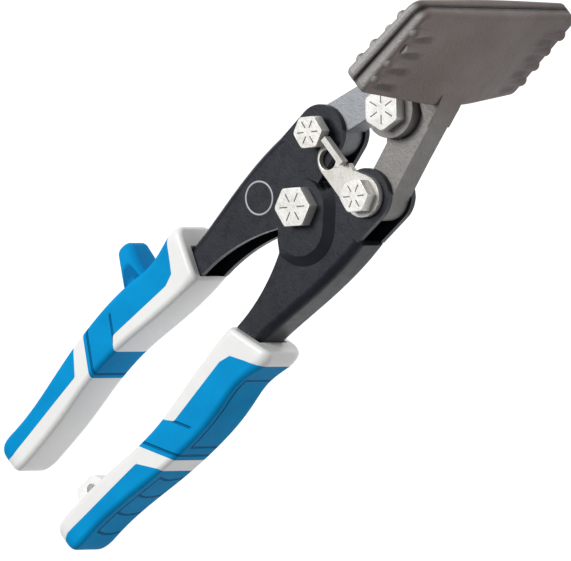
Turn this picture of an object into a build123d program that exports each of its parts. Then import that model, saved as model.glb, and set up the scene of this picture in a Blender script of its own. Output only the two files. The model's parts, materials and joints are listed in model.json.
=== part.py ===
from build123d import *
import os
from math import asin, atan2, cos, degrees, hypot, radians, sin

# Hand seamer (sheet-metal folding pliers) with compound leverage, closed and latched.
# +X points to the jaw tip, +Y to the handle that carries the thumb horn, +Z up out of the bolt
# heads.  The origin is on the handle pivot's axis, midway between the two cheeks of the channels.
# All sizes are millimetres.

os.makedirs("parts", exist_ok=True)

# ---- driving dimensions -------------------------------------------------------------------
JAW_WIDTH = 76.2            # three inch folding jaws
JAW_TIP_X = 86.5            # free edge of the jaws
JAW_REAR_X = 53.5           # rear edge of the jaw plates
DEPTH_MARK = 6.35           # one raised depth mark every quarter inch
SHEET = 2.0                 # handle plate thickness
CHANNEL_HALF = 6.75         # half the outer width of the handle channel
CHEEK_IN = CHANNEL_HALF - SHEET
SLIDE_GAP = 0.1             # between flat faces that slide on each other
RUNNING_FIT = 0.08          # radial, pin in hole
JAW_PIVOT_X = 42.7          # jaw pivot axis, on the centre line
LINK_X = 18.7               # link pins, one on each side
LINK_Y = 12.5
GRIP_REAR_X = -130.7
GRIP_HALF = 9.75            # half the thickness of a grip along Z

BIG_SHANK_R = 3.97          # five sixteenths bolts at both main pivots
SMALL_SHANK_R = 2.95        # link bolts
BIG_HEX = 11.1              # width across flats
SMALL_HEX = 9.0
HEAD_HEIGHT = 3.9

# ---- handle plate profile (right handle, which lies on the -Y side) ---------------------------
LUG_R = 8.5                 # end of the cheek that is joggled outward, around the handle pivot
FLAT_LUG_R = 8.0            # end of the straight cheek, which lies under the other handle's lug
JOGGLE_RUN = 3.0            # plan length of the slope between the two levels
JOGGLE_REACH = 5.94         # the raised patch is a slot this long between its two centres
EAR_R = 8.2
WEB_FRONT_X = 7.3           # the web ends here and two flat ears go on
TANG_REAR_X = -120.0        # the channel's rear end, inside the grip
WEB_SPINE = [(WEB_FRONT_X, -21.6), (-16, -21.2), (-40, -18.7), (-62, -18.9), (-85, -19.9),
             (TANG_REAR_X, -18.6)]
CHEEK_REAR_EDGE = [(-14.8, -3.6), (-20.8, -6.2), (-30.8, -9.0), (-41.0, -10.0)]
TANG_EDGE = [(-41.0, -10.0), (-55, -13.2), (-85, -15.6), (TANG_REAR_X, -14.2)]
BEND_R = 3.0


def shifted(points, dy):
    """The same run of points, moved along Y."""
    return [(x, y + dy) for x, y in points]


def ear_tangent():
    """Where the ray from the handle pivot touches the round ear."""
    reach = hypot(LINK_X, LINK_Y)
    angle = -atan2(LINK_Y, LINK_X) + asin(EAR_R / reach)
    distance = (reach ** 2 - EAR_R ** 2) ** 0.5
    return angle, (distance * cos(angle), distance * sin(angle))


def cheek_face(lug_r, rear_corner):
    """Plan of one cheek: lug around the pivot, ear around the link pin, tang in the grip."""
    angle, touch = ear_tangent()
    front = (lug_r * cos(angle), lug_r * sin(angle))
    top = (lug_r * cos(radians(60)), lug_r * sin(radians(60)))
    inset = shifted(WEB_SPINE, BEND_R + 0.2)
    with BuildSketch() as face:
        with BuildLine():
            Line(front, touch)
            ThreePointArc(touch, (LINK_X + EAR_R, -LINK_Y), (LINK_X, -LINK_Y - EAR_R))
            Polyline((LINK_X, -LINK_Y - EAR_R), (WEB_FRONT_X, -20.5), inset[0])
            Spline(*inset)
            Line(inset[-1], TANG_EDGE[-1])
            Polyline(*reversed(TANG_EDGE))
            Spline(*reversed(CHEEK_REAR_EDGE))
            Polyline(CHEEK_REAR_EDGE[0], *rear_corner)
            ThreePointArc(rear_corner[-1], top, front)
        make_face()
    return face.sketch


def joggle_cap(base_z, radius):
    """Tapered slot-shaped bulge that lifts the lug by one sheet thickness."""
    rise = SHEET + SLIDE_GAP
    lean = degrees(atan2(JOGGLE_RUN, rise))
    middle = -JOGGLE_REACH / 2 * cos(radians(45))
    with BuildPart() as cap:
        with BuildSketch(Plane.XY.offset(base_z)):
            with Locations((middle, middle)):
                SlotCenterToCenter(JOGGLE_REACH, 2 * (radius + JOGGLE_RUN), rotation=45)
        extrude(amount=rise, taper=lean)
    return cap.part


def make_handle():
    """Right handle: folded channel, one cheek joggled outward (+Z) and one straight (-Z)."""
    tangent = LUG_R * sin(radians(45))
    lug_plan = cheek_face(LUG_R, [(-11.2, 2 * -tangent + 11.2), (-tangent, tangent)])
    flat_plan = cheek_face(FLAT_LUG_R, [(-12.4, -2.3), (-FLAT_LUG_R * cos(0.11), -FLAT_LUG_R * sin(0.11))])
    with BuildPart() as raised:
        add(joggle_cap(CHANNEL_HALF, LUG_R))
        extrude(Plane.XY.offset(CHANNEL_HALF) * lug_plan, amount=SHEET + SLIDE_GAP, mode=Mode.INTERSECT)
    with BuildPart() as handle:
        # web with its two bends, as a solid bar that is then hollowed
        with BuildSketch(Plane.XY.offset(-CHANNEL_HALF)):
            with BuildLine():
                Spline(*WEB_SPINE)
                Line(WEB_SPINE[-1], (TANG_REAR_X, WEB_SPINE[-1][1] + BEND_R + 1))
                Spline(*reversed(shifted(WEB_SPINE, BEND_R + 1)))
                Line((WEB_FRONT_X, WEB_SPINE[0][1] + BEND_R + 1), WEB_SPINE[0])
            make_face()
        extrude(amount=2 * CHANNEL_HALF)
        bends = handle.edges().filter_by(lambda e: e.length > 100).group_by(Axis.Y)[0]
        fillet(bends, BEND_R)
        # the two cheeks
        extrude(Plane.XY.offset(CHEEK_IN) * lug_plan, amount=SHEET)
        extrude(Plane.XY.offset(-CHANNEL_HALF) * flat_plan, amount=SHEET)
        # hollow of the channel
        with BuildSketch(Plane.XY.offset(-CHEEK_IN)):
            with BuildLine():
                inner = shifted(WEB_SPINE, SHEET)
                Spline(*inner)
                Polyline(inner[-1], (TANG_REAR_X, -5), (WEB_FRONT_X, -5), inner[0])
            make_face()
        extrude(amount=2 * CHEEK_IN, mode=Mode.SUBTRACT)
        # joggled lug
        add(raised.part)
        add(joggle_cap(CHEEK_IN, LUG_R), mode=Mode.SUBTRACT)
        # pivot and link holes
        with BuildSketch(Plane.XY.offset(-CHANNEL_HALF - SHEET)):
            Circle(BIG_SHANK_R + RUNNING_FIT)
            with Locations((LINK_X, -LINK_Y)):
                Circle(SMALL_SHANK_R + RUNNING_FIT)
        extrude(amount=2 * (CHANNEL_HALF + 2 * SHEET), mode=Mode.SUBTRACT)
    return handle.part


with BuildPart() as right_handle:
    add(make_handle())
right_handle.part.label = "right_handle"
export_step(right_handle.part, "parts/right_handle.step")

with BuildPart() as left_handle:
    add(make_handle().rotate(Axis.X, 180))
left_handle.part.label = "left_handle"
export_step(left_handle.part, "parts/left_handle.step")

# ---- jaws (left jaw, on the +Y side; the right jaw is the same piece turned over) ---------------
TAIL_R = 7.2
TAIL_HALF = CHEEK_IN - SLIDE_GAP
BOSS_R = 8.5
BOSS_FRONT = 8.6
LAP_R = 8.95                # pocket for the other jaw's boss
LAP_GAP = SLIDE_GAP / 2
NECK_HALF = 5.5
TIP_FACE_Y = 0.15           # half the gap between the closed jaws at the tip
REAR_FACE_Y = 0.4           # and at the rear edge
TIP_EDGE_Y = 3.3            # outer face along the side edges
REAR_EDGE_Y = 4.2
TIP_RIDGE_Y = 3.9           # outer face along the middle, before it is rounded over
REAR_RIDGE_Y = 10.6
RIDGE_HALF = 14.0           # half the width over which the ridge is rounded
TIP_CORNER_R = 4.0          # corners of the plate, seen from outside
REAR_CORNER_R = 2.5
OUTER_EDGE_R = 1.5          # rounding of the plate's outer rim
OPEN_PIVOT_R = 4.5          # loose bore in the right jaw, around the jaw pivot bolt
RIB_COUNT = 4
RIB_R = 2.1
RIB_LENGTH = 8.5
RIB_PROUD = 1.35            # height of a rib's outer end over the side edge
RIB_DIVE = 8.0              # degrees by which it sinks into the face toward the middle
RIB_INSET = 2.3             # from the side edge to the centre of a rib's rounded end


def jaw_section(x, face_y, edge_y, ridge_y):
    """Cross-section of the jaw plate, thicker along its middle."""
    side = JAW_WIDTH / 2
    rise = (ridge_y - edge_y) * RIDGE_HALF / side
    with BuildSketch(Plane(origin=(x, 0, 0), x_dir=(0, 0, 1), z_dir=(1, 0, 0))) as section:
        with BuildLine():
            Polyline((-RIDGE_HALF, rise - ridge_y), (-side, -edge_y), (-side, -face_y), (side, -face_y),
                     (side, -edge_y), (RIDGE_HALF, rise - ridge_y))
            ThreePointArc((RIDGE_HALF, rise - ridge_y), (0, rise / 2 - ridge_y),
                          (-RIDGE_HALF, rise - ridge_y))
        make_face()
    return section.sketch


def make_jaw(pivot_bore_r):
    """Forged jaw: tail, arm, half-lapped boss and the wide folding plate."""
    with BuildPart() as plate:
        add(jaw_section(JAW_REAR_X, REAR_FACE_Y, REAR_EDGE_Y, REAR_RIDGE_Y))
        add(jaw_section(JAW_TIP_X, TIP_FACE_Y, TIP_EDGE_Y, TIP_RIDGE_Y))
        loft(ruled=True)
        corners = plate.edges().filter_by(Axis.Y, tolerance=12).group_by(Axis.X)
        fillet(corners[-1], TIP_CORNER_R)
        corners = plate.edges().filter_by(Axis.Y, tolerance=12).group_by(Axis.X)
        fillet(corners[0], REAR_CORNER_R)
        outer_faces = plate.faces().filter_by(lambda f: f.normal_at().Y > 0.9)
        seams = [RIDGE_HALF, -RIDGE_HALF]
        rim = [e for f in outer_faces for e in f.edges() if round(e.center().Z, 1) not in seams]
        fillet(rim, OUTER_EDGE_R)
    with BuildPart() as jaw:
        # tail and arm
        with BuildSketch(Plane.XY.offset(-TAIL_HALF)):
            with BuildLine():
                Polyline((LINK_X, LINK_Y + TAIL_R), (27, 17.2), (36.6, 14.5), (54.0, 10.0),
                         (62.0, 7.2), (62.0, REAR_FACE_Y), (38, REAR_FACE_Y),
                         (33.4, 5), (24.4, 7.5), (LINK_X, LINK_Y), close=True)
            make_face()
            with Locations((LINK_X, LINK_Y)):
                Circle(TAIL_R)
        extrude(amount=2 * TAIL_HALF)
        # neck, a little thicker, under the plate
        with BuildSketch(Plane.XY.offset(-NECK_HALF)):
            with BuildLine():
                Polyline((JAW_PIVOT_X + 9, REAR_FACE_Y), (JAW_PIVOT_X + 5, 11.6), (54.0, 10.0),
                         (62.0, 7.2), (62.0, REAR_FACE_Y), close=True)
            make_face()
        extrude(amount=2 * NECK_HALF)
        # pocket for the other jaw's boss, then this jaw's own boss
        with BuildSketch(Plane.XY.offset(LAP_GAP)):
            with Locations((JAW_PIVOT_X, 0)):
                Circle(LAP_R)
        extrude(amount=-2 * BOSS_FRONT, mode=Mode.SUBTRACT)
        with BuildSketch(Plane.XY.offset(LAP_GAP)):
            with Locations((JAW_PIVOT_X, 0)):
                Circle(BOSS_R)
        extrude(amount=BOSS_FRONT - LAP_GAP)
        add(plate.part)
        # raised depth marks near both side edges
        for mark in range(RIB_COUNT):
            x = JAW_REAR_X + DEPTH_MARK * (mark + 1)
            share = (x - JAW_REAR_X) / (JAW_TIP_X - JAW_REAR_X)
            edge_y = REAR_EDGE_Y + share * (TIP_EDGE_Y - REAR_EDGE_Y)
            ridge_y = REAR_RIDGE_Y + share * (TIP_RIDGE_Y - REAR_RIDGE_Y)
            lean = degrees(atan2(ridge_y - edge_y, JAW_WIDTH / 2)) - RIB_DIVE
            for side, toward in ((-1, Align.MIN), (1, Align.MAX)):
                end = (x, edge_y + RIB_PROUD - RIB_R, side * (JAW_WIDTH / 2 - RIB_INSET))
                with Locations(Location(end, (side * lean, 0, 0))):
                    Cylinder(RIB_R, RIB_LENGTH, align=(Align.CENTER, Align.CENTER, toward))
                    Sphere(RIB_R)
        # nothing stands out of the parting face
        with BuildSketch(Plane.XY.offset(-JAW_WIDTH)):
            with BuildLine():
                Polyline((JAW_REAR_X, REAR_FACE_Y), (JAW_TIP_X, TIP_FACE_Y), (JAW_TIP_X, -RIB_R),
                         (JAW_REAR_X, -RIB_R), close=True)
            make_face()
        extrude(amount=2 * JAW_WIDTH, mode=Mode.SUBTRACT)
        # bores
        with BuildSketch(Plane.XY.offset(-2 * BOSS_FRONT)):
            with Locations((JAW_PIVOT_X, 0)):
                Circle(pivot_bore_r)
            with Locations((LINK_X, LINK_Y)):
                Circle(SMALL_SHANK_R + RUNNING_FIT)
        extrude(amount=4 * BOSS_FRONT, mode=Mode.SUBTRACT)
    return jaw.part


with BuildPart() as left_jaw:
    add(make_jaw(BIG_SHANK_R + 0.03))
left_jaw.part.label = "left_jaw"
export_step(left_jaw.part, "parts/left_jaw.step")

with BuildPart() as right_jaw:
    add(make_jaw(OPEN_PIVOT_R).rotate(Axis.X, 180))
right_jaw.part.label = "right_jaw"
export_step(right_jaw.part, "parts/right_jaw.step")

# ---- bolts, nuts and washers ------------------------------------------------------------------
LUG_FACE = CHANNEL_HALF + SHEET + SLIDE_GAP
LATCH_TOP = LUG_FACE
SMALL_HEAD_BASE = LATCH_TOP + SLIDE_GAP
NUT_HEIGHT = 4.2
COLLAR_HEIGHT = 1.9         # round collar of a lock nut, which holds the nylon ring
THREAD_GAP = 0.03
THREAD_OUT = 0.8            # how far a bolt's end stands out of its nut


def hex_bolt(x, y, head_base, head_height, across, shank_r, end_z, turn):
    """Hexagon head with a turned chamfer, and a shank that runs down to end_z."""
    corner = across / 2 / cos(radians(30))
    with BuildPart() as bolt:
        with BuildSketch(Plane.XY.offset(head_base)):
            with Locations((x, y)):
                RegularPolygon(across / 2, 6, major_radius=False, rotation=turn)
        extrude(amount=head_height)
        with BuildSketch(Plane.XY.offset(head_base)):
            with Locations((x, y)):
                Circle(corner + head_height * 1.4 - 0.35)
        extrude(amount=head_height, taper=degrees(atan2(1.4, 1)), mode=Mode.INTERSECT)
        with BuildSketch(Plane.XY.offset(end_z)):
            with Locations((x, y)):
                Circle(shank_r)
        extrude(amount=head_base - end_z)
        chamfer(bolt.faces().sort_by(Axis.Z)[0].edges(), 0.5)
    return bolt.part


def lock_nut(x, y, top_z, across, shank_r, turn):
    """Hexagon nut below top_z, with the round collar of a nylon insert."""
    with BuildPart() as nut:
        with BuildSketch(Plane.XY.offset(top_z)):
            with Locations((x, y)):
                RegularPolygon(across / 2, 6, major_radius=False, rotation=turn)
        extrude(amount=-NUT_HEIGHT)
        with BuildSketch(Plane.XY.offset(top_z - NUT_HEIGHT)):
            with Locations((x, y)):
                Circle(across / 2 - 0.3)
        extrude(amount=-COLLAR_HEIGHT)
        fillet(nut.faces().sort_by(Axis.Z)[0].edges(), 0.7)
        with BuildSketch(Plane.XY.offset(top_z)):
            with Locations((x, y)):
                Circle(shank_r + THREAD_GAP)
        extrude(amount=-NUT_HEIGHT - COLLAR_HEIGHT, mode=Mode.SUBTRACT)
        with BuildSketch(Plane.XY.offset(top_z - NUT_HEIGHT)):
            with Locations((x, y)):
                Circle(shank_r + 0.9)
        extrude(amount=-COLLAR_HEIGHT, mode=Mode.SUBTRACT)
    return nut.part


def nut_insert(x, y, top_z, shank_r):
    """Nylon ring in the collar of a lock nut."""
    with BuildPart() as ring:
        with BuildSketch(Plane.XY.offset(top_z - NUT_HEIGHT)):
            with Locations((x, y)):
                Circle(shank_r + 0.9)
                Circle(shank_r + THREAD_GAP, mode=Mode.SUBTRACT)
        extrude(amount=-COLLAR_HEIGHT + 0.4)
    return ring.part


# name, x, y, underside of the head, width across flats, shank radius, top of the nut, turn
FASTENERS = [
    ("handle_pivot", 0, 0, LUG_FACE, BIG_HEX, BIG_SHANK_R, -LUG_FACE - SLIDE_GAP, 22),
    ("jaw_pivot", JAW_PIVOT_X, 0, BOSS_FRONT, BIG_HEX, BIG_SHANK_R, -BOSS_FRONT - SLIDE_GAP, 50),
    ("left_link", LINK_X, LINK_Y, SMALL_HEAD_BASE, SMALL_HEX, SMALL_SHANK_R, -CHANNEL_HALF, 23),
    ("right_link", LINK_X, -LINK_Y, SMALL_HEAD_BASE, SMALL_HEX, SMALL_SHANK_R, -CHANNEL_HALF, 23),
]
for fastener, x, y, head_base, across, shank_r, nut_top, turn in FASTENERS:
    bolt_end = nut_top - NUT_HEIGHT - COLLAR_HEIGHT - THREAD_OUT
    bolt = hex_bolt(x, y, head_base, HEAD_HEIGHT, across, shank_r, bolt_end, turn)
    bolt.label = fastener + "_bolt"
    export_step(bolt, "parts/" + bolt.label + ".step")
    nut = lock_nut(x, y, nut_top, across, shank_r, turn)
    nut.label = fastener + "_nut"
    export_step(nut, "parts/" + nut.label + ".step")
    insert = nut_insert(x, y, nut_top, shank_r)
    insert.label = fastener + "_nut_insert"
    export_step(insert, "parts/" + insert.label + ".step")

SPACER_R = 5.6
with BuildPart() as pivot_spacer:
    with BuildSketch(Plane.XY.offset(-TAIL_HALF)):
        Circle(SPACER_R)
        Circle(BIG_SHANK_R + RUNNING_FIT, mode=Mode.SUBTRACT)
    extrude(amount=2 * TAIL_HALF)
pivot_spacer.part.label = "pivot_spacer"
export_step(pivot_spacer.part, "parts/pivot_spacer.step")

# ---- opening spring: three turns around the spacer, one leg along each web ------------------------
SPRING_WIRE_R = 0.9
SPRING_TURNS = 3
SPRING_R = SPACER_R + SPRING_WIRE_R + 0.5
SPRING_PITCH = 2 * SPRING_WIRE_R + 0.35
SPRING_LEG_END = (-22.0, -15.6)
half_coil = SPRING_PITCH * SPRING_TURNS / 2
with BuildPart() as opening_spring:
    with BuildSketch(Plane.XY.offset(-half_coil)):
        Circle(SPRING_R + 0.35)
        Circle(SPRING_R - 0.35, mode=Mode.SUBTRACT)
    extrude(amount=2 * half_coil)
    for level in range(SPRING_TURNS + 1):
        with Locations((0, 0, -half_coil + SPRING_PITCH * level)):
            Torus(SPRING_R, SPRING_WIRE_R)
    for side in (-1, 1):
        foot = Vector(-3.0, side * 6.4, side * half_coil)
        tip = Vector(SPRING_LEG_END[0], -side * SPRING_LEG_END[1], side * half_coil)
        with BuildSketch(Plane(origin=foot, z_dir=tip - foot)):
            Circle(SPRING_WIRE_R)
        extrude(amount=(tip - foot).length)
opening_spring.part.label = "opening_spring"
export_step(opening_spring.part, "parts/opening_spring.step")

# ---- latch: swinging strut that keeps the two link bolts apart ------------------------------------
LATCH_BASE = CHANNEL_HALF + SLIDE_GAP
FLANGE_OUT_X = 22.0
FLANGE_THICK = 1.8
FLANGE_TOP = 11.9
FLANGE_LOW_Y = -1.9
LATCH_END_Y = 7.9
LATCH_CORNER_R = 5.5        # clears the other link bolt's shank as the latch swings out
BEND_OUT_R = 2.4             # outer radius of the flange's bend
with BuildPart() as latch:
    # flat strut with a round eye at the pivot end
    with BuildSketch(Plane.XY.offset(LATCH_BASE)):
        with BuildLine():
            Polyline((12.55, -11), (12.6, LATCH_END_Y), (FLANGE_OUT_X - BEND_OUT_R, LATCH_END_Y),
                     (FLANGE_OUT_X - BEND_OUT_R, FLANGE_LOW_Y), (21.6, FLANGE_LOW_Y - 0.3), (21.4, -4.9),
                     (24.0, -9.2), (LINK_X, -LINK_Y), close=True)
        make_face()
        with Locations((LINK_X, -LINK_Y)):
            Circle(6.2)
    extrude(amount=SHEET)
    fillet(latch.edges().filter_by(Axis.Z).group_by(Axis.Y)[-1].sort_by(Axis.X)[0], LATCH_CORNER_R)
    # flange bent up along one side
    with BuildSketch(Plane.XZ.offset(-LATCH_END_Y)):
        with BuildLine():
            Line((FLANGE_OUT_X - BEND_OUT_R, LATCH_BASE), (FLANGE_OUT_X - BEND_OUT_R, LATCH_BASE + SHEET))
            RadiusArc((FLANGE_OUT_X - BEND_OUT_R, LATCH_BASE + SHEET),
                      (FLANGE_OUT_X - FLANGE_THICK, LATCH_BASE + BEND_OUT_R), BEND_OUT_R - FLANGE_THICK)
            Polyline((FLANGE_OUT_X - FLANGE_THICK, LATCH_BASE + BEND_OUT_R),
                     (FLANGE_OUT_X - FLANGE_THICK, FLANGE_TOP), (FLANGE_OUT_X, FLANGE_TOP),
                     (FLANGE_OUT_X, LATCH_BASE + BEND_OUT_R))
            RadiusArc((FLANGE_OUT_X, LATCH_BASE + BEND_OUT_R), (FLANGE_OUT_X - BEND_OUT_R, LATCH_BASE),
                      -BEND_OUT_R)
        make_face()
    extrude(amount=LATCH_END_Y - FLANGE_LOW_Y)
    with BuildSketch(Plane.XY.offset(LATCH_BASE)):
        with Locations((LINK_X, -LINK_Y)):
            Circle(SMALL_SHANK_R + RUNNING_FIT)
        with Locations((16.6, 3.6)):
            Circle(3.0)
    extrude(amount=SHEET, mode=Mode.SUBTRACT)
latch.part.label = "latch"
export_step(latch.part, "parts/latch.step")

# ---- grips (right grip, on the -Y side; the left one is its mirror image) -----------------------
# station: x, |Y| of the inner face, |Y| of the outer face, half thickness, corner radii on the palm side
# and on the finger side
GRIP_STATIONS = [
    (GRIP_REAR_X, 12.4, 18.4, 6.4, 2.6, 1.8),
    (-128.8, 11.0, 20.1, 8.4, 4.0, 1.8),
    (-122.4, 10.5, 20.7, 9.3, 4.5, 1.8),
    (-106.9, 11.3, 21.8, 9.6, 4.5, 1.8),
    (-91.3, 13.0, 24.1, GRIP_HALF, 4.5, 1.8),
    (-79.5, 13.1, 25.2, GRIP_HALF, 4.5, 1.8),
    (-60.8, 10.8, 24.7, GRIP_HALF, 4.5, 1.8),
    (-52.0, 9.9, 23.7, GRIP_HALF, 4.8, 1.8),
    (-47.5, 9.5, 24.3, GRIP_HALF + 0.1, 5.5, 2.0),
    (-43.0, 9.2, 25.5, GRIP_HALF + 0.4, 6.8, 2.8),
    (-38.0, 9.0, 25.8, GRIP_HALF + 0.4, 7.4, 3.2),
    (-28.0, 9.0, 25.8, GRIP_HALF + 0.4, 7.4, 3.2),
]
MOUTH_R = 1.6               # rounded rim of the collar


def grip_section(x, inner_y, outer_y, half, palm_r, finger_r):
    """Rounded cross-section, with larger corners on the palm side."""
    with BuildSketch(Plane(origin=(x, 0, 0), x_dir=(0, 1, 0), z_dir=(1, 0, 0))) as section:
        with Locations((-(inner_y + outer_y) / 2, 0)):
            Rectangle(outer_y - inner_y, 2 * half)
        fillet(section.vertices().group_by(Axis.Y)[0], palm_r)
        fillet(section.vertices().group_by(Axis.Y)[-1], finger_r)
    return section.sketch


with BuildPart() as grip_body:
    for station in GRIP_STATIONS:
        add(grip_section(*station))
    loft()
    # the collar ends in a slanted plane
    with BuildSketch(Plane.XY.offset(-2 * GRIP_HALF)):
        with BuildLine():
            Polyline((-42.3, -8), (-35.0, -28), (-20, -28), (-20, -8), close=True)
        make_face()
    extrude(amount=4 * GRIP_HALF, mode=Mode.SUBTRACT)
    fillet(grip_body.faces().sort_by(Axis.X)[-1].edges(), MOUTH_R)

# the handle's tang fills a slot in the grip, and a sleeve of shell plastic surrounds it
TANG_GAP = 0.15
CORE_HALF = 8.2
CORE_PALM_R = 2.5           # its long corners on the palm side
CORE_FINGER_R = 1.2         # and on the finger side
CORE_OUTLINE = [(-124.5, -12.9), (-85, -14.6), (-58, -12.2), (-43, -9.8), (-43, -20.0), (-62, -20.3),
                (-85, -21.4), (-124.5, -19.7)]
with BuildPart() as core:
    with BuildSketch(Plane.XY.offset(-CORE_HALF)):
        with BuildLine():
            Polyline(*CORE_OUTLINE, close=True)
        make_face()
    extrude(amount=2 * CORE_HALF)
    long_edges = core.edges().filter_by(lambda e: e.length > 12 and abs(e.center().Z) > CORE_HALF / 2)
    fillet(long_edges.filter_by(lambda e: e.center().Y < -18), CORE_PALM_R)
    long_edges = core.edges().filter_by(lambda e: e.length > 12 and abs(e.center().Z) > CORE_HALF / 2)
    fillet(long_edges.filter_by(lambda e: e.center().Y > -15), CORE_FINGER_R)

# the soft panels, seen in plan
REAR_PAD = [(-127.3, -15.2), (-94.2, -16.9), (-89.2, -23.3), (-87.9, -30), (-140, -30), (-140, -18)]
FRONT_PAD = [(-90.5, -5), (-90.2, -13.4), (-84.0, -23.8), (-82.2, -30), (-38.5, -30), (-44.4, -20.5),
             (-47.4, -16), (-51.4, -14.8), (-75.5, -16.8), (-78.4, -13.4), (-78.6, -5)]


def pad_from(outline, corner_r):
    """The stretch of the grip inside this plan outline, down to the sleeve."""
    with BuildPart() as pad:
        add(grip_body.part)
        with BuildSketch(Plane.XY.offset(-2 * GRIP_HALF)) as plan:
            with BuildLine():
                Polyline(*outline, close=True)
            make_face()
            fillet(plan.vertices(), corner_r)
        extrude(amount=4 * GRIP_HALF, mode=Mode.INTERSECT)
        add(core.part, mode=Mode.SUBTRACT)
    return pad.part


with BuildPart() as right_grip_front_pad:
    add(pad_from(FRONT_PAD, 1.2))
right_grip_front_pad.part.label = "right_grip_front_pad"
export_step(right_grip_front_pad.part, "parts/right_grip_front_pad.step")

with BuildPart() as right_grip_rear_pad:
    add(pad_from(REAR_PAD, 1.5))
right_grip_rear_pad.part.label = "right_grip_rear_pad"
export_step(right_grip_rear_pad.part, "parts/right_grip_rear_pad.step")

with BuildPart() as plain_shell:
    add(grip_body.part)
    add(right_grip_front_pad.part, mode=Mode.SUBTRACT)
    add(right_grip_rear_pad.part, mode=Mode.SUBTRACT)
    with BuildSketch(Plane.XY.offset(-CHANNEL_HALF - TANG_GAP)):
        with BuildLine():
            palm_side = shifted(WEB_SPINE, -TANG_GAP)
            Spline(*palm_side)
            slot_end_x = TANG_REAR_X - TANG_GAP
            Polyline(palm_side[-1], (slot_end_x, palm_side[-1][1]), (slot_end_x, -14.05),
                     *shifted(reversed(TANG_EDGE), TANG_GAP), (-30, -8.8), (WEB_FRONT_X, -8.8), palm_side[0])
        make_face()
    extrude(amount=2 * (CHANNEL_HALF + TANG_GAP), mode=Mode.SUBTRACT)

LOOP_X = -115.6
LOOP_HOLE_Y = -8.4
LOOP_HOLE_R = 1.8
LOOP_TOP_Y = LOOP_HOLE_Y + 3.4
LOOP_BASE_Y = -12.2
LOOP_HALF = 2.6
LOOP_CORNER_R = 2.0
with BuildPart() as right_grip_shell:
    add(plain_shell.part)
    # hanging loop on the finger side
    with BuildSketch(Plane.XY.offset(-LOOP_HALF)) as loop_plan:
        with BuildLine():
            Polyline((LOOP_X - 7.5, LOOP_BASE_Y), (LOOP_X - 4.6, LOOP_TOP_Y), (LOOP_X + 3.2, LOOP_TOP_Y),
                     (LOOP_X + 6.5, LOOP_BASE_Y), close=True)
        make_face()
        fillet(loop_plan.vertices().group_by(Axis.Y)[-1], LOOP_CORNER_R)
    extrude(amount=2 * LOOP_HALF)
    with BuildSketch(Plane.XY.offset(-LOOP_HALF)):
        with Locations((LOOP_X, LOOP_HOLE_Y)):
            Circle(LOOP_HOLE_R)
    extrude(amount=2 * LOOP_HALF, mode=Mode.SUBTRACT)
right_grip_shell.part.label = "right_grip_shell"
export_step(right_grip_shell.part, "parts/right_grip_shell.step")

with BuildPart() as left_grip_shell:
    add(plain_shell.part.mirror(Plane.XZ))
left_grip_shell.part.label = "left_grip_shell"
export_step(left_grip_shell.part, "parts/left_grip_shell.step")

with BuildPart() as left_grip_rear_pad:
    add(right_grip_rear_pad.part.mirror(Plane.XZ))
left_grip_rear_pad.part.label = "left_grip_rear_pad"
export_step(left_grip_rear_pad.part, "parts/left_grip_rear_pad.step")

# thumb horn, which leans forward: y, x of the middle, length along X, width along Z, corner radius
HORN_STATIONS = [
    (22.5, -62.6, 11.0, 14.8, 3.8),
    (29.5, -60.6, 8.2, 13.2, 3.4),
    (36.9, -58.4, 6.4, 9.8, 3.0),
]
HORN_TOP_R = 2.2
with BuildPart() as left_grip_front_pad:
    add(right_grip_front_pad.part.mirror(Plane.XZ))
    for y, x, length, width, corner_r in HORN_STATIONS:
        with BuildSketch(Plane.XZ.offset(-y)):
            with Locations((x, 0)):
                RectangleRounded(length, width, corner_r)
    loft()
    fillet(left_grip_front_pad.faces().sort_by(Axis.Y)[-1].edges(), HORN_TOP_R)
left_grip_front_pad.part.label = "left_grip_front_pad"
export_step(left_grip_front_pad.part, "parts/left_grip_front_pad.step")
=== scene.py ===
import bpy
import json
import math
from mathutils import Matrix, Vector


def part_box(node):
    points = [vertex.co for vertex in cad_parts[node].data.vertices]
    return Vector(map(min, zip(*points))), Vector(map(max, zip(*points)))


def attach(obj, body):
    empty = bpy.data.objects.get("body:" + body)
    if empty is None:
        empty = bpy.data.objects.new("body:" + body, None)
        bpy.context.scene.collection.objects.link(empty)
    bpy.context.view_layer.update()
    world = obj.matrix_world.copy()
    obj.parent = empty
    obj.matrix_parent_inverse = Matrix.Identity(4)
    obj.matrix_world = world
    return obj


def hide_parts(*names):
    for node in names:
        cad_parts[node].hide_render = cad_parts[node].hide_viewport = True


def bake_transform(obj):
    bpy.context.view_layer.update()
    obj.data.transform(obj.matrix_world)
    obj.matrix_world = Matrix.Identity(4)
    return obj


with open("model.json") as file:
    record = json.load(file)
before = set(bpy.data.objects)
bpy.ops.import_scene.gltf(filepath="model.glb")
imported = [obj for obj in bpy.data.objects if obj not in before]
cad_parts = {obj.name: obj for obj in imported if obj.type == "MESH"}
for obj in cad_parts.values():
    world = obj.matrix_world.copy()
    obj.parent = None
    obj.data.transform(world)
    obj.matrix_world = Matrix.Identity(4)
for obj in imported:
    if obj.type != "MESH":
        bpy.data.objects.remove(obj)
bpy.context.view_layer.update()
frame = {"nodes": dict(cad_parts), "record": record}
NODES = frame["nodes"]
MM = 0.001

# ---- camera: along the tool from its jaw end, looking down on the bolt heads -----------------------
VIEW = Vector((-0.443, 0.394, -0.805)).normalized()
TARGET = Vector((-0.0230, -0.00825, 0.0))
DISTANCE = 5.0
PIXELS_PER_METRE = 3419.0       # image scale at the target
IMAGE_WIDTH = 571
SENSOR = 36.0

FLOOR_HALF = 4.0
FLOOR_LEVEL = -0.25

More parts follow.
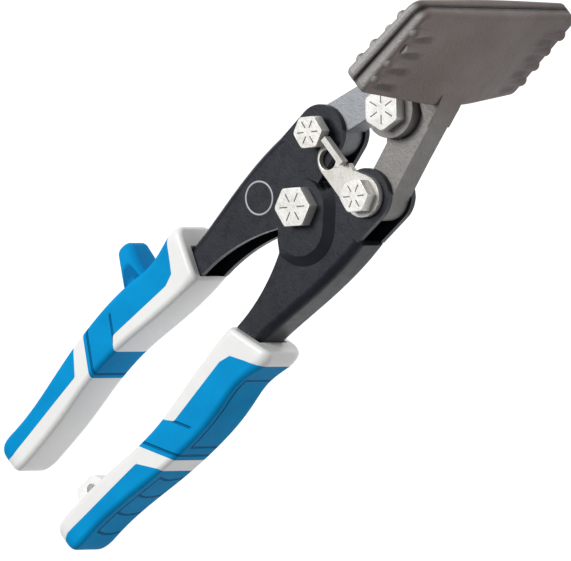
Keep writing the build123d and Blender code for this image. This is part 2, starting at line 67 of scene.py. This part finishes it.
# ---- sizes of the added pieces, in millimetres --------------------------------------------------------
RING_CENTRE = (-10.4, 12.8, 6.75)   # on the left handle's near face
RING_RADIUS = 4.85
RING_LINE = 0.30                # half the line's width
RING_FLATNESS = 0.3             # its height as a share of its width

MARK_HALF = 0.24                # half the width of a raised bar on a bolt head
MARK_RISE = 0.14
MARK_SINK = 0.10
MARK_TOP_SHARE = 0.55           # a bar's top is narrower than its foot
MARK_TOP_LENGTH = 0.955

WIRE_R = 0.9                    # opening spring
COIL_R = 7.0
COIL_PITCH = 2.15
COIL_TURNS = 3.0
COIL_START = 115                # degrees
COIL_EXTRA = 130                # degrees beyond the whole turns
COIL_STEPS = 150
LEG_POINTS = ((22.0, 15.6), (12.0, 10.8))   # back from the pivot and out from the centre line

THREAD_PITCH = 1.0
THREAD_TOP = -13.0              # the bolts are threaded below this height

# ---- places of the moulded and forged details and of the painted rib shade, in millimetres ------------
ARM_END_X = (44.0, 56.0)        # the arms' colour turns into the plates' colour
MARK_PITCH = 6.35               # depth marks on the jaws
RIB_SHADE_X = 51.2                 # painted shade of a hollow lies here and at every pitch from here
RIB_SHADE_Z = 30.5
RIB_SHADE_MIDDLE_X = 67.2
RIB_SHADE_REACH = 14.0

GROOVE = 0.5                    # half the width of a moulded groove
PANEL_MIDDLE_X = -63.5          # rectangle on the front panels' palm face
PANEL_HALF_X = 14.0
PANEL_HALF_Z = 6.8
BAND_SLOPE = 0.596              # the white band leans by this much along X for each unit along Y
BESIDE_BAND_X = -96.3           # where the leaning lines would meet the centre line
FROM_NOTCH_X = -85.5
NOTCH_LINE_END_Y = (21.8, 22.6)

REAR_OUTLINE_Z = 5.9            # outline on the rear panels' palm face
LAST_GROOVE_X = -121.4
REAR_GROOVES = 4
GROOVE_PITCH = 9.2
GROOVE_BOW = 38.0               # curvature, per metre


def add_camera():
    data = bpy.data.cameras.new("camera")
    camera = bpy.data.objects.new("camera", data)
    bpy.context.collection.objects.link(camera)
    up = Vector((0.665, 0.747, 0.0))
    right = VIEW.cross(up).normalized()
    up = right.cross(VIEW).normalized()
    place = Matrix((right, up, -VIEW)).transposed().to_4x4()
    place.translation = TARGET - VIEW * DISTANCE
    camera.matrix_world = place
    data.sensor_fit = "HORIZONTAL"
    data.sensor_width = SENSOR
    data.lens = PIXELS_PER_METRE * DISTANCE * SENSOR / IMAGE_WIDTH
    data.clip_start = 0.05
    data.clip_end = 20.0
    bpy.context.scene.camera = camera


def add_area(name, place, aim, size, power):
    data = bpy.data.lights.new(name, "AREA")
    data.shape = "DISK"
    data.size = size
    data.energy = power
    light = bpy.data.objects.new(name, data)
    bpy.context.collection.objects.link(light)
    light.location = place
    light.rotation_euler = (Vector(aim) - Vector(place)).to_track_quat("-Z", "Y").to_euler()


def add_studio():
    world = bpy.data.worlds.new("studio")
    bpy.context.scene.world = world
    world.use_nodes = True
    back = world.node_tree.nodes["Background"]
    back.inputs["Color"].default_value = (0.95, 0.97, 1.0, 1.0)
    back.inputs["Strength"].default_value = 0.22
    add_area("key", (0.05, 0.62, 1.45), (-0.02, 0, 0), 0.8, 24.0)
    add_area("front", (0.9, 0.35, 1.2), (0.0, 0, 0), 0.7, 2.5)
    mesh = bpy.data.meshes.new("floor")
    signs = ((-1, -1), (1, -1), (1, 1), (-1, 1))
    corners = [(x * FLOOR_HALF, y * FLOOR_HALF, FLOOR_LEVEL) for x, y in signs]
    mesh.from_pydata(corners, [], [(0, 1, 2, 3)])
    floor = bpy.data.objects.new("floor", mesh)
    bpy.context.collection.objects.link(floor)
    paint = bpy.data.materials.new("floor")
    paint.use_nodes = True
    shader = paint.node_tree.nodes["Principled BSDF"]
    shader.inputs["Base Color"].default_value = (0.92, 0.92, 0.92, 1.0)
    shader.inputs["Roughness"].default_value = 0.9
    shader.inputs["Emission Color"].default_value = (1, 1, 1, 1)
    shader.inputs["Emission Strength"].default_value = 0.26
    mesh.materials.append(paint)
    bpy.context.scene.view_settings.view_transform = "Standard"


# ---- procedural materials, in object coordinates (metres, the shared frame) ------------------------
class Graph:
    """A material's node tree, with short ways to add the nodes used here."""

    def __init__(self, name):
        self.material = bpy.data.materials.new(name)
        self.material.use_nodes = True
        self.tree = self.material.node_tree
        self.shader = self.tree.nodes["Principled BSDF"]
        coordinates = self.tree.nodes.new("ShaderNodeTexCoord")
        self.place = coordinates.outputs["Object"]
        split = self.tree.nodes.new("ShaderNodeSeparateXYZ")
        self.tree.links.new(self.place, split.inputs[0])
        self.x, self.y, self.z = split.outputs
        facing = self.tree.nodes.new("ShaderNodeSeparateXYZ")
        self.tree.links.new(coordinates.outputs["Normal"], facing.inputs[0])
        self.toward_y = facing.outputs[1]
        self.toward_z = facing.outputs[2]

    def math(self, operation, first, second=None):
        node = self.tree.nodes.new("ShaderNodeMath")
        node.operation = operation
        for socket, value in zip(node.inputs, (first, second)):
            if value is None:
                continue
            if isinstance(value, (int, float)):
                socket.default_value = value
            else:
                self.tree.links.new(value, socket)
        return node.outputs[0]

    def ramp(self, value, low, high, start=0.0, end=1.0):
        """value from low to high, mapped onto start to end and held outside."""
        node = self.tree.nodes.new("ShaderNodeMapRange")
        node.inputs["From Min"].default_value = low
        node.inputs["From Max"].default_value = high
        node.inputs["To Min"].default_value = start
        node.inputs["To Max"].default_value = end
        self.tree.links.new(value, node.inputs["Value"])
        return node.outputs["Result"]

    def noise(self, scale, detail=3.0, roughness=0.55):
        node = self.tree.nodes.new("ShaderNodeTexNoise")
        node.inputs["Scale"].default_value = scale
        node.inputs["Detail"].default_value = detail
        node.inputs["Roughness"].default_value = roughness
        self.tree.links.new(self.place, node.inputs["Vector"])
        return node.outputs["Fac"]

    def blend(self, share, first, second):
        """Colour mix; each colour is a tuple or a socket."""
        node = self.tree.nodes.new("ShaderNodeMix")
        node.data_type = "RGBA"
        self.tree.links.new(share, node.inputs[0])
        for index, colour in ((6, first), (7, second)):
            if isinstance(colour, tuple):
                node.inputs[index].default_value = (*colour, 1.0)
            else:
                self.tree.links.new(colour, node.inputs[index])
        return node.outputs[2]

    def bump(self, height, distance, below=None):
        node = self.tree.nodes.new("ShaderNodeBump")
        node.inputs["Distance"].default_value = distance
        self.tree.links.new(height, node.inputs["Height"])
        if below is not None:
            self.tree.links.new(below, node.inputs["Normal"])
        return node.outputs[0]

    def near(self, value, centre, half):
        """1 on the centre value, falling to 0 at half away from it."""
        away = self.math("ABSOLUTE", self.math("SUBTRACT", value, centre))
        return self.ramp(away, 0.4 * half, half, 1.0, 0.0)

    def off_zero(self, value, half):
        """How far a length lies beyond half to either side of zero; negative in between."""
        return self.math("SUBTRACT", self.math("ABSOLUTE", value), half)

    def set(self, socket, value):
        if isinstance(value, (int, float)):
            self.shader.inputs[socket].default_value = value
        else:
            self.tree.links.new(value, self.shader.inputs[socket])


def worn(name, light, dark, metallic, rough, grain, depth, mottle=90.0):
    """Two-tone colour from broad noise, roughness from medium noise and a fine grain in the bump."""
    graph = Graph(name)
    broad = graph.noise(mottle, 4.0)
    fine = graph.noise(grain, 2.0)
    mixed = graph.math("ADD", graph.math("MULTIPLY", broad, 0.7), graph.math("MULTIPLY", fine, 0.3))
    graph.colour = graph.blend(graph.ramp(mixed, 0.36, 0.64), dark, light)
    graph.set("Base Color", graph.colour)
    graph.set("Metallic", metallic)
    graph.set("Roughness", graph.ramp(graph.noise(mottle * 4, 3.0), 0.3, 0.7, rough - 0.06, rough + 0.06))
    graph.relief = graph.bump(fine, depth)
    graph.set("Normal", graph.relief)
    return graph


def arm_colour_with_painted_light(graph, on_left):
    """Lighter bluish left arm and darker warmer right arm: painted light and painted shade on the same
    forged steel.
    """
    left = graph.blend(graph.noise(140.0), (0.26, 0.275, 0.292), (0.335, 0.35, 0.37))
    right = graph.blend(graph.noise(140.0), (0.18, 0.171, 0.160), (0.26, 0.250, 0.237))
    return graph.blend(on_left, right, left)


def painted_rib_shade(graph):
    """1 in the painted shade of the hollow behind each depth mark, near both side edges."""
    beside = graph.near(graph.math("ABSOLUTE", graph.z), RIB_SHADE_Z * MM, 6.0 * MM)
    wave = graph.math("PINGPONG", graph.math("SUBTRACT", graph.x, RIB_SHADE_X * MM), MARK_PITCH / 2 * MM)
    in_row = graph.near(graph.x, RIB_SHADE_MIDDLE_X * MM, RIB_SHADE_REACH * MM)
    rib_shade_share = graph.math("MULTIPLY", graph.near(wave, 0.0, 2.0 * MM), beside)
    return graph.math("MULTIPLY", rib_shade_share, graph.ramp(in_row, 0.0, 0.3, 0.0, 0.75))


def plate_colour(graph, on_left, off_seam):
    """Brown-grey plate with painted shade toward -Z, painted light on the sides facing +Z, painted shade in
    the hollows behind the depth marks, and a dark seam of painted shade where the jaws meet.
    """
    # painted shade: the plate is darker toward -Z, where less light falls
    darker = graph.blend(graph.noise(60.0), (0.120, 0.094, 0.084), (0.145, 0.116, 0.104))
    plate = graph.blend(graph.ramp(graph.z, -36.0 * MM, 12.0 * MM), darker, graph.colour)
    # painted shade in the hollow behind each depth mark
    plate = graph.blend(painted_rib_shade(graph), plate, (0.060, 0.045, 0.039))
    # painted light: the plate's sides that face +Z are lighter, more on the left jaw
    side = graph.blend(on_left, (0.25, 0.235, 0.225), (0.34, 0.33, 0.32))
    plate = graph.blend(graph.ramp(graph.toward_z, 0.6, 0.85), plate, side)
    on_edge = graph.ramp(graph.math("ABSOLUTE", graph.toward_y), 0.5, 0.8, 0.9, 0.0)
    # painted shade in the groove where the jaws meet, on the side faces
    seam_shade = graph.math("MULTIPLY", graph.near(off_seam, 0.0, 1.3 * MM), on_edge)
    return graph.blend(seam_shade, plate, (0.012, 0.010, 0.009))


def forged_steel():
    """Bead-blasted forging with a coarse pitted skin; the edges at the seam look rounded."""
    graph = worn("forged_steel", (0.225, 0.180, 0.162), (0.160, 0.126, 0.112), 0.30, 0.55, 2200.0,
                 0.00012, 60.0)
    on_left = graph.ramp(graph.y, -3.0 * MM, 3.0 * MM)
    off_seam = graph.math("ABSOLUTE", graph.y)
    arm = arm_colour_with_painted_light(graph, on_left)
    plate = plate_colour(graph, on_left, off_seam)
    graph.set("Base Color", graph.blend(graph.ramp(graph.x, *(x * MM for x in ARM_END_X)), arm, plate))
    rounded = graph.bump(graph.ramp(off_seam, 0.3 * MM, 1.9 * MM), 0.0006, graph.relief)
    pits = graph.bump(graph.ramp(graph.noise(900.0, 4.0), 0.35, 0.5), 0.00006, rounded)
    graph.set("Normal", pits)
    return graph.material


def zinc():
    """Bright plate with a faint yellow passivation, and threads below the nuts."""
    graph = worn("bright_zinc", (0.78, 0.77, 0.75), (0.69, 0.67, 0.62), 0.45, 0.36, 1500.0, 0.00004, 130.0)
    turn = graph.math("SINE", graph.math("MULTIPLY", graph.z, 2 * math.pi / (THREAD_PITCH * MM)))
    low = graph.ramp(graph.z, (THREAD_TOP - 0.3) * MM, THREAD_TOP * MM, 1.0, 0.0)
    graph.set("Normal", graph.bump(graph.math("MULTIPLY", turn, low), 0.0003, graph.relief))
    return graph.material


def soft_blue(name, groove):
    """Soft elastomer with moulded grooves, sunk by the bump and painted darker as their shade;
    groove(graph) gives 1 inside a groove and 0 outside.
    """
    graph = worn(name, (0.001, 0.275, 0.595), (0.001, 0.235, 0.525), 0.0, 0.66, 2600.0, 0.00003, 110.0)
    graph.set("Specular IOR Level", 0.05)
    line = groove(graph)
    # painted shade inside the grooves
    graph.set("Base Color", graph.blend(line, graph.colour, (0.001, 0.130, 0.330)))
    sunk = graph.math("SUBTRACT", 1.0, line)
    graph.set("Normal", graph.bump(sunk, 0.0006, graph.relief))
    return graph.material


def front_grooves(graph):
    """Long rectangle on the palm face, a line beside the slanted band and a short one from the notch."""
    across = graph.off_zero(graph.z, PANEL_HALF_Z * MM)
    along = graph.off_zero(graph.math("SUBTRACT", graph.x, PANEL_MIDDLE_X * MM), PANEL_HALF_X * MM)
    rectangle = graph.near(graph.math("MAXIMUM", across, along), 0.0, GROOVE * MM)
    outward = graph.math("ABSOLUTE", graph.y)
    slanted = graph.math("SUBTRACT", graph.x, graph.math("MULTIPLY", outward, BAND_SLOPE))
    beside_band = graph.near(slanted, BESIDE_BAND_X * MM, GROOVE * MM)
    line_end = graph.ramp(outward, *(y * MM for y in NOTCH_LINE_END_Y), 1.0, 0.0)
    from_notch = graph.math("MULTIPLY", graph.near(slanted, FROM_NOTCH_X * MM, GROOVE * MM), line_end)
    return graph.math("MAXIMUM", rectangle, graph.math("MAXIMUM", beside_band, from_notch))


def rear_grooves(graph):
    """Outline around the palm face, with bowed grooves across it."""
    across = graph.off_zero(graph.z, REAR_OUTLINE_Z * MM)
    inside = graph.ramp(across, -0.3 * MM, 0.1 * MM, 1.0, 0.0)
    bow = graph.math("MULTIPLY", graph.math("POWER", graph.z, 2.0), GROOVE_BOW)
    from_last = graph.math("SUBTRACT", graph.math("SUBTRACT", graph.x, bow), LAST_GROOVE_X * MM)
    half = (REAR_GROOVES - 1) * GROOVE_PITCH / 2
    beyond = graph.math("ABSOLUTE", graph.math("SUBTRACT", from_last, half * MM))
    between = graph.ramp(beyond, (half + 0.4) * MM, (half + 0.6) * MM, 1.0, 0.0)
    wave = graph.math("PINGPONG", from_last, GROOVE_PITCH / 2 * MM)
    stripes = graph.math("MULTIPLY", graph.near(wave, 0.0, 0.55 * MM), inside)
    lines = graph.math("MAXIMUM", graph.near(across, 0.0, 0.45 * MM), stripes)
    return graph.math("MULTIPLY", lines, between)


def handle_paint():
    """Smooth blue-black powder coat."""
    graph = worn("handle_paint", (0.0125, 0.0150, 0.0225), (0.0080, 0.0098, 0.0150), 0.0, 0.38, 1300.0,
                 0.00004)
    graph.set("Specular IOR Level", 0.34)
    return graph.material


LOOKS = {
    "handle_paint": handle_paint(),
    "forged_steel": forged_steel(),
    "bright_zinc": zinc(),
    "nylon": worn("nylon", (0.05, 0.12, 0.42), (0.04, 0.10, 0.34), 0.0, 0.5, 1500.0, 0.00003).material,
    "spring_steel": worn("spring_steel", (0.22, 0.22, 0.23), (0.12, 0.12, 0.12), 0.9, 0.38, 2000.0,
                         0.00004).material,
    "white_shell": worn("white_shell", (0.80, 0.795, 0.78), (0.765, 0.76, 0.745), 0.0, 0.36, 1800.0,
                        0.00002).material,
    "blue_pad": soft_blue("blue_front", front_grooves),
}
REAR_BLUE = soft_blue("blue_rear", rear_grooves)
LATCH_PLATE = worn("latch_plate", (0.60, 0.585, 0.56), (0.52, 0.50, 0.46), 0.45, 0.40, 1500.0,
                   0.00004).material
# painted shade: the raised bars on the bolt heads are painted dark for their shadows
STAMPED_MARK_SHADE = worn("stamped_mark_shade", (0.20, 0.195, 0.18), (0.12, 0.115, 0.105), 0.5, 0.5, 1500.0, 0.00003).material
RING_PAINT = worn("ring_paint", (0.42, 0.43, 0.45), (0.34, 0.35, 0.37), 0.0, 0.4, 1500.0, 0.00003).material
EDGE_ANGLE = 38
PRESSED_ANGLE = 25              # the handles' joggles have shallow edges
EDGE_ROUND = {"handle_paint": 0.30, "forged_steel": 1.10, "bright_zinc": 0.25, "nylon": 0.1,
              "spring_steel": 0.1, "white_shell": 0.35, "blue_pad": 0.30}


def soften(node, width, from_angle):
    """Welds the imported facets and rounds the edges sharper than an angle a little."""
    weld = node.modifiers.new("weld", "WELD")
    weld.merge_threshold = 0.001 * MM
    bevel = node.modifiers.new("bevel", "BEVEL")
    bevel.width = width * MM
    bevel.segments = 2
    bevel.limit_method = "ANGLE"
    bevel.angle_limit = math.radians(from_angle)
    bevel.use_clamp_overlap = True
    bevel.harden_normals = True
    normals = node.modifiers.new("normals", "WEIGHTED_NORMAL")
    normals.keep_sharp = False
    normals.weight = 60
    for polygon in node.data.polygons:
        polygon.use_smooth = True


for part in frame["record"]["subparts"]:
    node = NODES[part["node"]]
    look = part["material_slot"]
    node.data.materials.clear()
    if "rear_pad" in part["node"]:
        node.data.materials.append(REAR_BLUE)
    elif part["node"] == "latch":
        node.data.materials.append(LATCH_PLATE)
    else:
        node.data.materials.append(LOOKS[look])
    soften(node, EDGE_ROUND[look], PRESSED_ANGLE if look == "handle_paint" else EDGE_ANGLE)


# ---- added pieces -----------------------------------------------------------------------------------
def new_piece(name, points, faces, body, material, smooth=True):
    mesh = bpy.data.meshes.new(name)
    mesh.from_pydata(points, [], faces)
    mesh.validate()
    mesh.update()
    piece = bpy.data.objects.new(name, mesh)
    bpy.context.collection.objects.link(piece)
    mesh.materials.append(material)
    for polygon in mesh.polygons:
        polygon.use_smooth = smooth
    if body:
        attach(piece, body)
    return piece


def tube(path, radius, sides, closed):
    """Points and faces of a round wire along a path of points."""
    points = []
    faces = []
    count = len(path)
    for i in range(count):
        ahead = path[(i + 1) % count] if closed or i < count - 1 else path[i]
        behind = path[i - 1] if closed or i > 0 else path[i]
        run = (ahead - behind).normalized()
        side = run.cross(Vector((0, 0, 1)))
        if side.length < 0.05:
            side = run.cross(Vector((1, 0, 0)))
        side.normalize()
        lift = side.cross(run)
        for k in range(sides):
            turn = 2 * math.pi * k / sides
            points.append(path[i] + radius * (math.cos(turn) * side + math.sin(turn) * lift))
    for i in range(count if closed else count - 1):
        here = i * sides
        there = (i + 1) % count * sides
        for k in range(sides):
            after = (k + 1) % sides
            faces.append((here + k, here + after, there + after, there + k))
    if not closed:
        faces.append(tuple(range(sides)))
        faces.append(tuple(reversed(range(len(points) - sides, len(points)))))
    return points, faces


def head_marks(name, bolt, body, inner, outer, turn):
    """Six short raised bars on a bolt head, on the lines to its corners, painted dark as their shade."""
    low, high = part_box(bolt)
    centre = (low + high) / 2
    middle = (inner + outer) / 2
    points = []
    faces = []
    for k in range(6):
        angle = math.radians(turn + 60 * k)
        along = Vector((math.cos(angle), math.sin(angle), 0))
        side = Vector((-along.y, along.x, 0))
        base = len(points)
        for height, width, length in ((-MARK_SINK, 1.0, 1.0), (MARK_RISE, MARK_TOP_SHARE, MARK_TOP_LENGTH)):
            level = Vector((centre.x, centre.y, high.z + height * MM))
            for distance, sign in ((inner, -1), (outer, -1), (outer, 1), (inner, 1)):
                reach = middle + (distance - middle) * length
                points.append(level + along * reach * MM + side * sign * MARK_HALF * MM * width)
        faces.append((base + 4, base + 5, base + 6, base + 7))
        for a, b in ((0, 1), (1, 2), (2, 3), (3, 0)):
            faces.append((base + a, base + b, base + 4 + b, base + 4 + a))
    return new_piece(name, points, faces, body, STAMPED_MARK_SHADE, smooth=False)


def ring_mark():
    """Plain closed ring printed on the left handle's near face."""
    centre = Vector(RING_CENTRE) * MM
    path = []
    for k in range(64):
        turn = 2 * math.pi * k / 64
        path.append(centre + RING_RADIUS * MM * Vector((math.cos(turn), math.sin(turn), 0)))
    points, faces = tube(path, RING_LINE * MM, 8, True)
    flat = [Vector((p.x, p.y, centre.z + (p.z - centre.z) * RING_FLATNESS)) for p in points]
    return new_piece("ring_mark", flat, faces, "left_handle", RING_PAINT)


def helix():
    """Opening spring: three close turns around the spacer and a leg along each handle."""
    half = COIL_PITCH * COIL_TURNS / 2
    start = math.radians(COIL_START)
    sweep = 2 * math.pi * COIL_TURNS + math.radians(COIL_EXTRA)
    path = [Vector((-back, out, -half)) * MM for back, out in LEG_POINTS]
    for i in range(COIL_STEPS + 1):
        turn = start + sweep * i / COIL_STEPS
        height = -half + 2 * half * i / COIL_STEPS
        path.append(Vector((COIL_R * math.cos(turn), COIL_R * math.sin(turn), height)) * MM)
    path += [Vector((-back, -out, half)) * MM for back, out in reversed(LEG_POINTS)]
    points, faces = tube(path, WIRE_R * MM, 10, False)
    piece = new_piece("opening_spring_coil", points, faces, None, LOOKS["spring_steel"])
    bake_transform(piece)
    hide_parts("opening_spring")
    return piece


head_marks("handle_pivot_marks", "handle_pivot_bolt", "right_handle", 1.7, 4.5, 22)
head_marks("jaw_pivot_marks", "jaw_pivot_bolt", "left_jaw", 1.7, 4.5, 50)
head_marks("left_link_marks", "left_link_bolt", "left_handle", 1.4, 3.7, 23)
head_marks("right_link_marks", "right_link_bolt", "right_handle", 1.4, 3.7, 23)
ring_mark()
helix()

add_camera()
add_studio()
